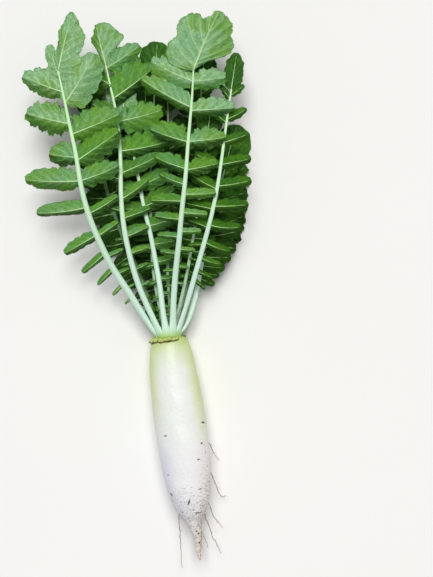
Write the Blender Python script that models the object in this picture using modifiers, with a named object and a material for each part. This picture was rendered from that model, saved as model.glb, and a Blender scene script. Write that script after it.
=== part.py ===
"""Daikon radish, as picked, lying on its side: one taproot with its side roots, a crown with the
bases of shed leaves, a heart bud, and a spread bunch of pinnate leaves.

Metres, +Z up.  The root lies along Y with its leaves towards +Y.  The origin is on the surface that
the radish lies on, in the middle of the flat strip where its belly rests.
"""
import math
from collections import namedtuple

import bmesh
import bpy
from mathutils import Vector

# ---------------------------------------------------------------- driving dimensions
ROOT_LENGTH = 0.313            # crown plane to the tip of the tail
ROOT_RADIUS = 0.0355           # at the belly
CROWN_Y = 0.105                # where the crown plane stands, from the middle of the resting strip
CROWN_Z = 0.0327               # height of the root's axis at the crown
ROOT_TILT = math.radians(1.0)  # the axis rises this much towards the tail
ROOT_SIDES = 24

RING_OUTER = 0.0155            # where the big leaves stand round the crown
RING_INNER = 0.0065            # where the inner leaves stand
FOOT_GAP = 0.0008              # between the crown and a leaf's foot
FOOT_LENGTH = 0.004            # a stalk leaves the crown straight, for this far
GAP = 0.0003                   # clearance between neighbouring pieces
BLADE_THICKNESS = 0.0012
LONGEST_LEAFLET = 0.074
SHORT_LEAFLET = 0.050          # up to this length a leaflet is a plain diamond
FIRST_PAIR, LAST_PAIR = 0.10, 0.97   # along the rachis, as fractions of it
FIRST_RISE = 0.026             # no leaflet stands closer to the crown than this
# ... or than this, on these leaves
BARE = {"leaf_07": 0.050, "leaf_08": 0.080, "leaf_09": 0.080, "leaf_10": 0.085, "leaf_13": 0.050,
        "leaf_14": 0.085}
MOST_HANG = math.radians(35)   # of a leaflet's rear half
PAIR_CROWDING = 1.3            # pairs stand closer together towards the crown
LOW_SLOPE = 0.20               # the lowest leaflets slope down this steeply
FOOT_BREADTH = 0.0013          # half the breadth of a leaflet where it leaves the rachis
STALK_RINGS = 10
STALK_TIP_RADIUS = 0.0011

SCALE_RADIUS = 0.0222          # old leaf bases, round the crown
SCALE_HEIGHT = 0.0034          # above the crown plane
SCALE_SINK = 0.0004            # below it
SCALE_THICKNESS = 0.0014
SCALE_SPAN = math.radians(52)

# The root's outline from crown to tail: distance along it and radius, as shares of the two sizes above.
ROOT_OUTLINE = (
    (0.000, 0.530), (0.006, 0.650), (0.029, 0.755), (0.083, 0.870), (0.176, 0.940), (0.293, 0.982),
    (0.429, 1.000), (0.546, 0.975), (0.624, 0.905), (0.692, 0.810), (0.746, 0.680), (0.785, 0.530),
    (0.814, 0.370), (0.850, 0.250), (0.895, 0.180), (0.940, 0.125), (0.985, 0.065))

# A leaf stands on the crown at `around` degrees (0 is +X, 90 is up) on a ring of radius `ring`.
# Its rachis runs through the `route` points, (x, y) from the crown, and lies at `height` once it is
# `rise` away from the crown.  `stalk` is its radius at the crown, `left` and `right` scale its lower
# and upper leaflets, of which it has `pairs`, `breadth` is half their breadth as a share of their
# length, `terminal` is the length of its last leaflet, and `fold` is how far the rear half of each
# leaflet hangs down.
Leaf = namedtuple("Leaf", "name around ring route height rise stalk left right pairs breadth terminal fold")
LEAVES = (
    Leaf("leaf_01", 172, RING_OUTER,
         ((-.042, .061), (-.0685, .122), (-.086, .195), (-.0905, .270), (-.098, .382)),
         .084, .26, .0054, (1.00, 1.00), (0.30, 0.92), 11, .30, .084, 50),
    Leaf("leaf_02", 132, RING_OUTER,
         ((-.031, .082), (-.040, .165), (-.031, .265), (-.029, .320), (-.0345, .385)),
         .062, .19, .0045, (0.25, 0.35), (0.45, 0.85), 11, .30, .059, 44),
    Leaf("leaf_03", 150, RING_INNER, ((-.009, .100), (.000, .190), (.013, .275), (.028, .354)),
         .036, .17, .0025, (0.50, 0.60), (0.34, 0.42), 14, .40, .062, 12),
    Leaf("leaf_04", 98, RING_OUTER, ((-.003, .095), (-.011, .215), (-.018, .315)),
         .047, .15, .0042, (0.40, 0.50), (0.50, 0.66), 12, .32, .060, 26),
    Leaf("leaf_05", -60, RING_INNER, ((.010, .085), (.021, .167), (.042, .325)),
         .028, .20, .0025, (0.36, 0.60), (0.30, 0.40), 14, .36, .052, 10),
    Leaf("leaf_06", 66, RING_OUTER, ((.016, .060), (.044, .175), (.067, .275), (.084, .358)),
         .084, .22, .0046, (0.80, 0.95), (0.65, 0.78), 11, .30, .0905, 48),
    Leaf("leaf_07", 10, RING_INNER, ((.018, .060), (.040, .143), (.062, .209), (.092, .340)),
         .040, .17, .0025, (0.34, 0.34), (0.40, 0.60), 14, .36, .052, 12),
    Leaf("leaf_08", 75, RING_INNER, ((.022, .045), (.044, .106), (.068, .185), (.092, .275)),
         .052, .16, .0025, (0.30, 0.45), (0.10, 0.50), 11, .34, .052, 18),
    Leaf("leaf_09", 33, RING_OUTER, ((.047, .080), (.088, .177), (.118, .280), (.132, .328)),
         .068, .20, .0041, (0.20, 0.60), (0.60, 0.65), 11, .24, .052, 36),
    Leaf("leaf_10", 0, RING_OUTER, ((.0235, .012), (.0335, .028), (.046, .058), (.074, .140), (.108, .222)),
         .028, .16, .0041, (0.30, 0.42), (0.34, 0.60), 11, .36, .055, 12),
    Leaf("leaf_11", -148, RING_OUTER, ((-.027, .080), (-.053, .180), (-.065, .265), (-.071, .342)),
         .018, .12, .0040, (0.62, 0.46), (0.36, 0.76), 16, .48, .060, 8),
    Leaf("leaf_12", -114, RING_OUTER, ((-.008, .090), (-.010, .190), (.002, .270), (.010, .330)),
         .0090, .10, .0038, (0.60, 0.75), (0.50, 0.74), 17, .46, .055, 4),
    Leaf("leaf_13", -77, RING_OUTER, ((.014, .090), (.036, .180), (.058, .255), (.074, .322)),
         .018, .12, .0038, (0.36, 0.56), (0.60, 0.65), 16, .46, .055, 8),
    Leaf("leaf_14", -36, RING_OUTER, ((.040, .070), (.080, .145), (.115, .215), (.122, .240)),
         .008, .10, .0038, (0.40, 0.55), (0.30, 0.60), 14, .46, .050, 4),
    Leaf("young_leaf_1", -115, RING_INNER, ((-.0035, .010), (-.005, .017)),
         .0275, .05, .0019, (0.0, 0.0), (0.0, 0.0), 0, .34, .011, 10),
    Leaf("young_leaf_2", -165, RING_INNER, ((-.0075, .010), (-.0095, .017)),
         .0315, .06, .0018, (0.0, 0.0), (0.0, 0.0), 0, .34, .010, 10),
)

# The three leaves on top have leaflets of their own, left side first, from the tip of the leaf down:
# where each stands on the rachis, its length, its angle from the rachis in degrees, and the breadths
# of its front half and of its rear half as seen from above, as shares of its length.
OWN_LEAFLETS = {
    "leaf_01": (
        ((.980, .046, 12, .17, .21), (.925, .060, 63, .40, .22), (.814, .061, 70, .39, .30),
         (.696, .036, 76, .55, .34), (.614, .075, 85, .26, .17), (.521, .068, 90, .21, .10),
         (.421, .050, 98, .22, .10), (.352, .040, 106, .17, .10), (.291, .030, 110, .17, .10),
         (.228, .020, 106, .18, .11), (.172, .012, 104, .20, .12)),
        ((.886, .081, 47, .19, .37), (.776, .071, 80, .34, .24), (.684, .070, 66, .25, .23),
         (.614, .055, 83, .30, .20), (.499, .046, 80, .17, .12), (.417, .034, 83, .20, .11),
         (.338, .024, 95, .20, .11), (.270, .018, 96, .22, .12), (.210, .012, 98, .22, .12))),
    "leaf_02": (
        ((.930, .038, 48, .32, .28), (.820, .038, 60, .32, .28), (.700, .036, 68, .30, .26),
         (.590, .032, 74, .26, .20), (.480, .022, 80, .22, .14), (.380, .014, 88, .22, .14),
         (.290, .014, 94, .22, .14)),
        ((.990, .055, 70, .27, .23), (.880, .069, 67, .45, .15), (.796, .062, 86, .32, .30),
         (.691, .068, 86, .33, .16), (.613, .059, 70, .19, .15), (.521, .044, 60, .19, .13),
         (.452, .040, 76, .20, .12), (.386, .034, 82, .20, .12), (.325, .027, 86, .20, .12),
         (.265, .020, 90, .20, .12), (.205, .014, 94, .20, .12))),
    "leaf_06": (
        ((.959, .063, 73, .28, .28), (.862, .078, 71, .24, .09), (.733, .055, 80, .36, .12),
         (.633, .045, 82, .34, .14), (.575, .036, 80, .20, .14), (.512, .044, 92, .25, .10),
         (.445, .036, 92, .22, .12), (.380, .030, 94, .20, .12), (.318, .024, 98, .20, .12),
         (.255, .017, 102, .20, .12), (.198, .012, 104, .20, .12)),
        ((.958, .045, 82, .36, .28), (.850, .059, 83, .29, .12), (.734, .050, 80, .35, .20),
         (.629, .043, 77, .31, .20), (.538, .043, 86, .20, .14), (.470, .034, 88, .20, .13),
         (.400, .028, 90, .20, .13), (.335, .022, 94, .20, .13), (.270, .016, 98, .20, .13),
         (.208, .011, 104, .20, .13))),
}

# Their last leaflets: how far each is turned to the right in degrees, the breadths of its left and
# right halves as shares of its length, and how far the two halves hang in degrees.
OWN_TERMINALS = {
    "leaf_01": (22, .12, .30, 8, 12),
    "leaf_02": (-4, .36, .44, 70, 4),
    "leaf_06": (16, .48, .42, 4, 16),
}

# A thin side root leaves the taproot `down` below the crown, `around` degrees from +X, and then
# passes through the points, (x, y) from the crown and z above the surface.
SideRoot = namedtuple("SideRoot", "name down around radius points")
SIDE_ROOTS = (
    SideRoot("side_root_1", .154, -8, .0007, ((.041, -.170, .022), (.047, -.182, .016))),
    SideRoot("side_root_2", .196, -5, .0007, ((.037, -.215, .024), (.044, -.234, .017), (.049, -.233, .014))),
    SideRoot("side_root_3", .236, 4, .0007, ((.030, -.260, .028), (.039, -.277, .020))),
    SideRoot("side_root_4", .251, -12, .0008, ((.023, -.285, .024), (.032, -.313, .015))),
    SideRoot("side_root_5", .247, 182, .0008, ((-.022, -.280, .028), (-.026, -.325, .019))),
    SideRoot("side_root_6", .272, 15, .0006, ((.012, -.286, .037), (.015, -.299, .034))),
    SideRoot("side_root_7", .215, -110, .0006, ((-.014, -.236, .006), (-.018, -.258, .004))),
)


# ---------------------------------------------------------------- scene helpers
def clear_scene():
    for obj in list(bpy.data.objects):
        bpy.data.objects.remove(obj, do_unlink=True)


def new_collection(name):
    collection = bpy.data.collections.new(name)
    bpy.context.scene.collection.children.link(collection)
    return collection


def make_material(name, colour, roughness):
    material = bpy.data.materials.new(name)
    material.use_nodes = True
    shader = material.node_tree.nodes["Principled BSDF"]
    shader.inputs["Base Color"].default_value = (*colour, 1.0)
    shader.inputs["Roughness"].default_value = roughness
    shader.inputs["Metallic"].default_value = 0.0
    return material


def add_object(name, data, collection, material=None):
    obj = bpy.data.objects.new(name, data)
    collection.objects.link(obj)
    if material:
        data.materials.append(material)
    return obj


def hide_helper(obj):
    obj.hide_render = True
    obj.display_type = "WIRE"


def mesh_from_bmesh(name, bm):
    mesh = bpy.data.meshes.new(name)
    bm.to_mesh(mesh)
    bm.free()
    return mesh


def tube_mesh(name, points, radii, resolution=2):
    """A closed mesh tube through the points, with a radius at each."""
    curve = bpy.data.curves.new(name, "CURVE")
    curve.dimensions = "3D"
    curve.bevel_depth = 1.0
    curve.bevel_resolution = resolution
    curve.use_fill_caps = True
    spline = curve.splines.new("POLY")
    spline.points.add(len(points) - 1)
    for node, point, radius in zip(spline.points, points, radii):
        node.co = (*point, 1.0)
        node.radius = radius
    holder = bpy.data.objects.new(name, curve)
    bpy.context.scene.collection.objects.link(holder)
    evaluated = holder.evaluated_get(bpy.context.evaluated_depsgraph_get())
    mesh = bpy.data.meshes.new_from_object(evaluated)
    bpy.data.objects.remove(holder, do_unlink=True)
    bm = bmesh.new()
    bm.from_mesh(mesh)
    bmesh.ops.remove_doubles(bm, verts=bm.verts, dist=0.00001)
    bmesh.ops.recalc_face_normals(bm, faces=bm.faces)
    bm.to_mesh(mesh)
    bm.free()
    return mesh


# ---------------------------------------------------------------- shape rules
def smoothstep(x):
    x = min(max(x, 0.0), 1.0)
    return x * x * (3.0 - 2.0 * x)


def through(points, per_span):
    """Points on one smooth curve through the given ones, spaced by chord length (cubic Hermite)."""
    points = [Vector(p) for p in points]
    knots = [0.0]
    for a, b in zip(points, points[1:]):
        knots.append(knots[-1] + (b - a).length)
    slopes = []
    for i in range(len(points)):
        before, after = max(i - 1, 0), min(i + 1, len(points) - 1)
        slopes.append((points[after] - points[before]) / (knots[after] - knots[before]))
    curve = [points[0]]
    for i in range(len(points) - 1):
        span = knots[i + 1] - knots[i]
        for step in range(1, per_span + 1):
            t = step / per_span
            curve.append(points[i] * (1 + 2 * t) * (1 - t) ** 2 + slopes[i] * span * t * (1 - t) ** 2
                         + points[i + 1] * t * t * (3 - 2 * t) + slopes[i + 1] * span * t * t * (t - 1))
    return curve


class Rachis:
    """The centre line of a leaf's stalk, from the crown to its last leaflet."""

    def __init__(self, leaf):
        around = math.radians(leaf.around)
        foot = Vector((leaf.ring * math.cos(around), CROWN_Y, CROWN_Z + leaf.ring * math.sin(around)))
        plan = [Vector((foot.x, FOOT_GAP))]
        plan += through([(foot.x, FOOT_LENGTH)] + list(leaf.route), 12)
        self.points, self.distances = [], []
        walked = 0.0
        for i, point in enumerate(plan):
            if i:
                walked += (point - plan[i - 1]).length
            lift = smoothstep(walked / leaf.rise)
            z = foot.z + (leaf.height - foot.z) * lift
            self.points.append(Vector((point.x, CROWN_Y + point.y, z)))
            self.distances.append(walked)
        self.length = walked

    def at(self, share):
        """The point and the forward direction at a share of the length."""
        distance = share * self.length
        i = 1
        while i < len(self.distances) - 1 and self.distances[i] < distance:
            i += 1
        start, end = self.distances[i - 1], self.distances[i]
        point = self.points[i - 1].lerp(self.points[i], (distance - start) / (end - start))
        before, after = max(i - 2, 0), min(i + 1, len(self.points) - 1)
        return point, (self.points[after] - self.points[before]).normalized()


def stalk_radius(leaf, share):
    """Broad at the crown, slim along the petiole and thin among the last leaflets."""
    flare = 0.10 * leaf.stalk * (1 - smoothstep(share / 0.05))
    return flare + STALK_TIP_RADIUS + (0.90 * leaf.stalk - STALK_TIP_RADIUS) * (1 - share ** 1.6)


def leaflet_length(share):
    """Leaflets are longest a little past the middle of the rachis."""
    if share < 0.57:
        return LONGEST_LEAFLET * (0.24 + 0.76 * smoothstep((share - 0.06) / 0.51))
    return LONGEST_LEAFLET * (1 - 0.5 * ((share - 0.57) / 0.40) ** 1.3)


# A leaflet stands at `share` of the rachis, at `angle` degrees from it.  `front` and `rear` are the
# breadths of its halves as shares of its length, and `fold` is how far the rear half hangs, in radians.
Leaflet = namedtuple("Leaflet", "share length angle front rear fold")


def leaflets_of(leaf, length, side):
    """The leaflets of one side of a leaf of that length: 0 is the left side and 1 the right one."""
    if leaf.name in OWN_LEAFLETS:
        for share, length, angle, front, shown in OWN_LEAFLETS[leaf.name][side]:
            fold = min(math.acos(shown / max(0.9 * front, 1.1 * shown)), MOST_HANG)
            yield Leaflet(share, length, angle, front, shown / math.cos(fold), fold)
        return
    reach = (leaf.left, leaf.right)[side]
    first = max(FIRST_PAIR, BARE.get(leaf.name, FIRST_RISE) / length)
    for pair in range(leaf.pairs):
        rank = (pair / (leaf.pairs - 1)) ** PAIR_CROWDING
        share = first + (LAST_PAIR - first) * rank + 0.012 * side - 0.006
        grown = reach[0] + (reach[1] - reach[0]) * smoothstep((share - 0.2) / 0.4)
        front = leaf.breadth * (0.68 + 0.32 * smoothstep((share - 0.15) / 0.6))
        yield Leaflet(share, leaflet_length(share) * grown, 106 - 60 * share ** 1.6, front, 0.9 * front,
                      math.radians(leaf.fold))


def add_blade(bm, start, outward, forward, length, droop, front, front_fold, rear, rear_fold):
    """A leaflet: two halves, front and rear, that hang from its midrib by their folds."""
    def spine(u):
        bend = forward * (0.07 * length * u * u) - Vector((0, 0, droop * length * u * u))
        return start + outward * (length * u) + bend

    def half(towards, breadth, fold):
        return towards * (breadth * length * math.cos(fold)) - Vector((0, 0, breadth * length * math.sin(fold)))

    stations = ((0.30, 0.95), (0.78, 0.85))
    if length < SHORT_LEAFLET:
        stations = ((0.55, 1.0),)
    foot = FOOT_BREADTH / length
    rows = [[bm.verts.new(start + forward * offset) for offset in (FOOT_BREADTH, 0.0, -FOOT_BREADTH)]]
    for u, share in stations:
        middle = spine(u)
        ahead = half(forward, max(front * share, foot), front_fold)
        behind = half(-forward, max(rear * share, foot), rear_fold)
        rows.append([bm.verts.new(middle + offset) for offset in (ahead, Vector(), behind)])
    for near, far in zip(rows, rows[1:]):
        bm.faces.new((near[0], near[1], far[1], far[0]))
        bm.faces.new((near[1], near[2], far[2], far[1]))
    tip = bm.verts.new(spine(1.0))
    bm.faces.new((rows[-1][0], rows[-1][1], tip))
    bm.faces.new((rows[-1][1], rows[-1][2], tip))


def directions(along, side, angle):
    """Level unit vectors along a leaflet and across it, towards the tip of the leaf."""
    level = Vector((along.x, along.y, 0)).normalized()
    across = Vector((level.y, -level.x, 0)) * side
    outward = level * math.cos(angle) + across * math.sin(angle)
    return outward, level * math.sin(angle) - across * math.cos(angle)


def leaf_blades(leaf, rachis):
    """Every leaflet of a leaf as one open surface mesh."""
    bm = bmesh.new()
    for side in (0, 1):
        for leaflet in leaflets_of(leaf, rachis.length, side):
            point, along = rachis.at(leaflet.share)
            outward, forward = directions(along, 2 * side - 1, math.radians(leaflet.angle))
            across = directions(along, 2 * side - 1, math.pi / 2)[0]
            start = point + across * (0.3 * stalk_radius(leaf, leaflet.share))
            slope = Vector((0, 0, LOW_SLOPE * (1 - smoothstep(leaflet.share / 0.5))))
            add_blade(bm, start, outward - slope, forward, leaflet.length, 0.10,
                      leaflet.front, math.radians(8), leaflet.rear, leaflet.fold)
    point, along = rachis.at(1.0)
    plain = (0, 1.1 * leaf.breadth, 1.1 * leaf.breadth, 10, 14)
    turn, left, right, left_fold, right_fold = OWN_TERMINALS.get(leaf.name, plain)
    outward, forward = directions(along, 1, math.radians(turn))
    add_blade(bm, point - outward * 0.001, outward, forward, leaf.terminal, 0.06,
              left, math.radians(left_fold), right, math.radians(right_fold))
    bmesh.ops.recalc_face_normals(bm, faces=bm.faces)
    return mesh_from_bmesh(leaf.name + "_blades", bm)


# ---------------------------------------------------------------- the pieces
def build_taproot(collection, cutters, material):
    """The swollen root, turned about its axis and flattened a little where it rests."""
    bm = bmesh.new()
    outline = [(0.0, 0.0)] + [(radius * ROOT_RADIUS, -down * ROOT_LENGTH) for down, radius in ROOT_OUTLINE]
    outline.append((0.0, -ROOT_LENGTH))
    verts = [bm.verts.new((x, 0.0, z)) for x, z in outline]
    for a, b in zip(verts, verts[1:]):
        bm.edges.new((a, b))
    root = add_object("taproot", mesh_from_bmesh("taproot", bm), collection, material)
    root.location = (0.0, CROWN_Y, CROWN_Z)
    root.rotation_euler = (-math.pi / 2 - ROOT_TILT, 0.0, 0.0)
    screw = root.modifiers.new("Turn", "SCREW")
    screw.steps = ROOT_SIDES
    screw.render_steps = ROOT_SIDES
    screw.use_merge_vertices = True
    screw.merge_threshold = 0.0001
    screw.use_normal_calculate = True

    bm = bmesh.new()
    bmesh.ops.create_cube(bm, size=1.0)
    ground = add_object("below_the_surface", mesh_from_bmesh("below_the_surface", bm), cutters)
    ground.location = (0.0, 0.0, -0.5)
    hide_helper(ground)
    flat = root.modifiers.new("Resting strip", "BOOLEAN")
    flat.operation = "DIFFERENCE"
    flat.object = ground
    return root


def build_leaf(leaf, collection, cutters, material):
    """A tapered stalk joined with all its leaflets."""
    rachis = Rachis(leaf)
    rings = STALK_RINGS if leaf.terminal > 0.03 else STALK_RINGS // 2
    foot_share = (FOOT_LENGTH - FOOT_GAP) / rachis.length
    shares = [0.0] + [foot_share + (1 - foot_share) * i / (rings - 1) for i in range(rings)]
    points = [rachis.at(share)[0] for share in shares]
    radii = [stalk_radius(leaf, share) for share in shares]
    stalk = add_object(leaf.name, tube_mesh(leaf.name, points, radii, 1), collection, material)
    blades = add_object(leaf.name + "_blades", leaf_blades(leaf, rachis), cutters)
    hide_helper(blades)
    solid = blades.modifiers.new("Blade", "SOLIDIFY")
    solid.thickness = BLADE_THICKNESS
    solid.offset = 0.0
    joined = stalk.modifiers.new("Leaflets", "BOOLEAN")
    joined.operation = "UNION"
    joined.object = blades
    joined.use_self = True
    return stalk


def root_surface(down, around):
    """A point on the taproot's surface, and the direction out of it."""
    share = down / ROOT_LENGTH
    for (near, near_radius), (far, far_radius) in zip(ROOT_OUTLINE, ROOT_OUTLINE[1:]):
        if near <= share <= far:
            radius = near_radius + (far_radius - near_radius) * (share - near) / (far - near)
    out = Vector((math.cos(around), 0.0, math.sin(around)))
    axis_point = Vector((0.0, CROWN_Y - down * math.cos(ROOT_TILT), CROWN_Z + down * math.sin(ROOT_TILT)))
    return axis_point + out * (radius * ROOT_RADIUS), out


def build_side_root(root, collection, material):
    surface, out = root_surface(root.down, math.radians(root.around))
    start = surface + out * (GAP + root.radius)
    ends = [Vector((x, CROWN_Y + y, z)) for x, y, z in root.points]
    route = through([start] + ends, 4)
    radii = [root.radius * (1 - 0.5 * i / (len(route) - 1)) for i in range(len(route))]
    return add_object(root.name, tube_mesh(root.name, route, radii, 1), collection, material)


def build_old_leaf_base(index, around, collection, material):
    """What is left of a shed leaf: a short curved scale that hugs the crown."""
    bm = bmesh.new()
    steps = 5
    rows = []
    for i in range(steps + 1):
        angle = around + SCALE_SPAN * (i / steps - 0.5)
        height = SCALE_HEIGHT * (1 - 0.5 * abs(2 * i / steps - 1) ** 2)
        x, z = SCALE_RADIUS * math.cos(angle), CROWN_Z + SCALE_RADIUS * math.sin(angle)
        rows.append((bm.verts.new((x, CROWN_Y - SCALE_SINK, z)), bm.verts.new((x, CROWN_Y + height, z))))
    for a, b in zip(rows, rows[1:]):
        bm.faces.new((a[0], b[0], b[1], a[1]))
    name = "old_leaf_base_%d" % index
    scale = add_object(name, mesh_from_bmesh(name, bm), collection, material)
    solid = scale.modifiers.new("Scale", "SOLIDIFY")
    solid.thickness = SCALE_THICKNESS
    solid.offset = 0.0
    return scale


def build_heart_bud(collection, material):
    """The closed bud of the next leaves, in the middle of the crown."""
    bm = bmesh.new()
    outline = ((0.0, 0.030), (0.0008, 0.029), (0.0019, 0.020), (0.0024, 0.010), (0.0021, 0.0), (0.0, 0.0))
    verts = [bm.verts.new((x, 0.0, z)) for x, z in outline]
    for a, b in zip(verts, verts[1:]):
        bm.edges.new((a, b))
    bud = add_object("heart_bud", mesh_from_bmesh("heart_bud", bm), collection, material)
    bud.location = (0.0, CROWN_Y + GAP, CROWN_Z)
    bud.rotation_euler = (-math.pi / 2, 0.0, 0.0)
    screw = bud.modifiers.new("Turn", "SCREW")
    screw.steps = 10
    screw.render_steps = 10
    screw.use_merge_vertices = True
    screw.merge_threshold = 0.0001
    screw.use_normal_calculate = True
    return bud


def main():
    clear_scene()
    radish = new_collection("daikon_radish")
    cutters = new_collection("cutters")
    root_skin = make_material("root_skin", (0.82, 0.84, 0.76), 0.45)
    leaf_green = make_material("leaf_green", (0.16, 0.40, 0.13), 0.60)
    heart_green = make_material("heart_green", (0.42, 0.56, 0.16), 0.55)
    old_base = make_material("old_leaf_base", (0.46, 0.44, 0.16), 0.75)
    rootlet = make_material("rootlet", (0.62, 0.57, 0.50), 0.80)

    build_taproot(radish, cutters, root_skin)
    for leaf in LEAVES:
        build_leaf(leaf, radish, cutters, leaf_green)
    build_heart_bud(radish, heart_green)
    for index, around in enumerate((92, 157, 228, 300), start=1):
        build_old_leaf_base(index, math.radians(around), radish, old_base)
    for root in SIDE_ROOTS:
        build_side_root(root, radish, rootlet)


main()
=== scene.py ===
"""The looks of a daikon radish with all its leaves, lying on a plain pale surface.

Metres, +Z up, in the frame's own axes: the root lies along Y with its leaves towards +Y.
"""
from collections import namedtuple
from math import acos, atan2, cos, pi, radians, sin, sqrt, tan

import bpy
import numpy as np
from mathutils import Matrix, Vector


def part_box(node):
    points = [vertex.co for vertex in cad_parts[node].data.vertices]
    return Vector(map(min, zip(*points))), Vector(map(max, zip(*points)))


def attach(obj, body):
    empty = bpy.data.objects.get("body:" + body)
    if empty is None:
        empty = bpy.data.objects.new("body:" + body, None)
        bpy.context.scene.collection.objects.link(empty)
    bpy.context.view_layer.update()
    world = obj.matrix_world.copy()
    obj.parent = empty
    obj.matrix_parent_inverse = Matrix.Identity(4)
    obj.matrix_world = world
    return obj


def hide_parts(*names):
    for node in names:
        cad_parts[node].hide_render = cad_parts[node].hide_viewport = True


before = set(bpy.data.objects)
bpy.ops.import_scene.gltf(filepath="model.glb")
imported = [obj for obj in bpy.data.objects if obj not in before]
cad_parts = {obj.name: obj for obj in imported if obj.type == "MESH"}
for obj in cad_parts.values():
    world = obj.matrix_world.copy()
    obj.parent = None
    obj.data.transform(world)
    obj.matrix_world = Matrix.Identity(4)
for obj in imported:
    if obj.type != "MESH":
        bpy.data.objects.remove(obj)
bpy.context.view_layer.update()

# ---------------------------------------------------------------- sizes, from the frame
ROOT_LOW, ROOT_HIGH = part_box("taproot")
BUD_LOW, BUD_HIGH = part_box("heart_bud")
CROWN = np.array((0.0, ROOT_HIGH.y, (BUD_LOW.z + BUD_HIGH.z) / 2))
ROOT_LENGTH = ROOT_HIGH.y - ROOT_LOW.y
ROOT_RADIUS = (ROOT_HIGH.x - ROOT_LOW.x) / 2
ROOT_TILT = radians(1.0)       # the axis rises this much towards the tail

UP = np.array((0.0, 0.0, 1.0))
OUTER, INNER = .0155, .0065    # radii of the rings on which the big and the inner leaves stand
FOOT_GAP = .0008               # a stalk shows from this far above the crown
FOOT_LENGTH = .004             # and runs straight up to here
CLASP_LENGTH = .035            # a stalk is wider than round up to here
STALK_TIP_RADIUS = .0011
BLADE_THICKNESS = .0004
NARROWEST = .004               # the least that a blade reaches to each side, as a share of its length
VEIN_SPACING = .011            # between the side veins of a leaflet
CROWN_DOME = .0022             # how far the middle of the crown stands up
THINNEST = .0002               # the root's least radius
BUD_LENGTH = .029
FLOOR_GAP = .0003              # nothing comes closer to the surface than this
FLOOR_HALF = 60

# Soft lights: name, the way each shines, strength, colour and spread in degrees.
LIGHTS = (("key", (-.03, -.42, -.9), 2.75, (1, .99, .97), 36),
          ("cool_fill", (.85, .1, -.5), .14, (.8, .88, 1), 60),
          ("warm_fill", (-.85, .1, -.5), .16, (1, .9, .8), 60))
SKY_STRENGTH = .2

CAMERA_LENS = 74.2             # millimetres
CAMERA_HEIGHT = 1.7
CAMERA_RIGHT, CAMERA_AHEAD = .0753, .0598      # from the crown
CAMERA_TURN = radians(-7.7)

# The root's outline from crown to tail: distance along it and radius, as shares of length and radius.
ROOT_OUTLINE = (
    (0, .53), (.006, .65), (.029, .755), (.083, .87), (.176, .94), (.293, .982), (.429, 1), (.546, .975),
    (.624, .905), (.692, .81), (.746, .68), (.785, .53), (.814, .37), (.85, .25), (.895, .18),
    (.94, .125), (.985, .065), (1, .02))

# Marks in the skin where side roots were: metres below the crown, degrees round the axis (90 is up),
# half size along the axis and round it in metres, slant in degrees, and how dark.
MARKS = (
    (.122, 25, .0011, .0028, 8, 1), (.132, 128, .0009, .0016, 0, .8), (.149, 42, .0009, .0014, 0, .9),
    (.151, 31, .0008, .001, 0, .5), (.163, 31, .0028, .0006, 8, .5), (.17, 56, .0009, .0015, 0, .8),
    (.181, 26, .003, .0006, 4, .4), (.187, 142, .001, .0016, 0, .6), (.211, 57, .0009, .0018, 0, .7),
    (.208, 50, .0007, .001, 0, .4), (.215, 149, .0017, .0014, 30, 1), (.227, 94, .0045, .0007, 28, .8),
    (.239, 83, .0009, .0014, 0, .6), (.241, 128, .001, .0014, 0, .6), (.244, 71, .0008, .0014, 0, .9),
    (.245, 57, .0006, .0026, 0, .9), (.271, 86, .0009, .0009, 0, .9), (.275, 73, .001, .0009, 0, .9),
    (.288, 67, .0014, .0008, 0, .8), (.14, -28, .0009, .0016, 0, .7), (.168, -35, .001, .0018, 0, .8),
    (.205, -20, .0009, .0014, 0, .7), (.15, 212, .0009, .0016, 0, .7), (.19, 205, .001, .0018, 0, .8),
    (.226, 215, .0009, .0016, 0, .7), (.11, 200, .0008, .0014, 0, .4), (.096, 38, .0008, .0012, 0, .3))

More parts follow.
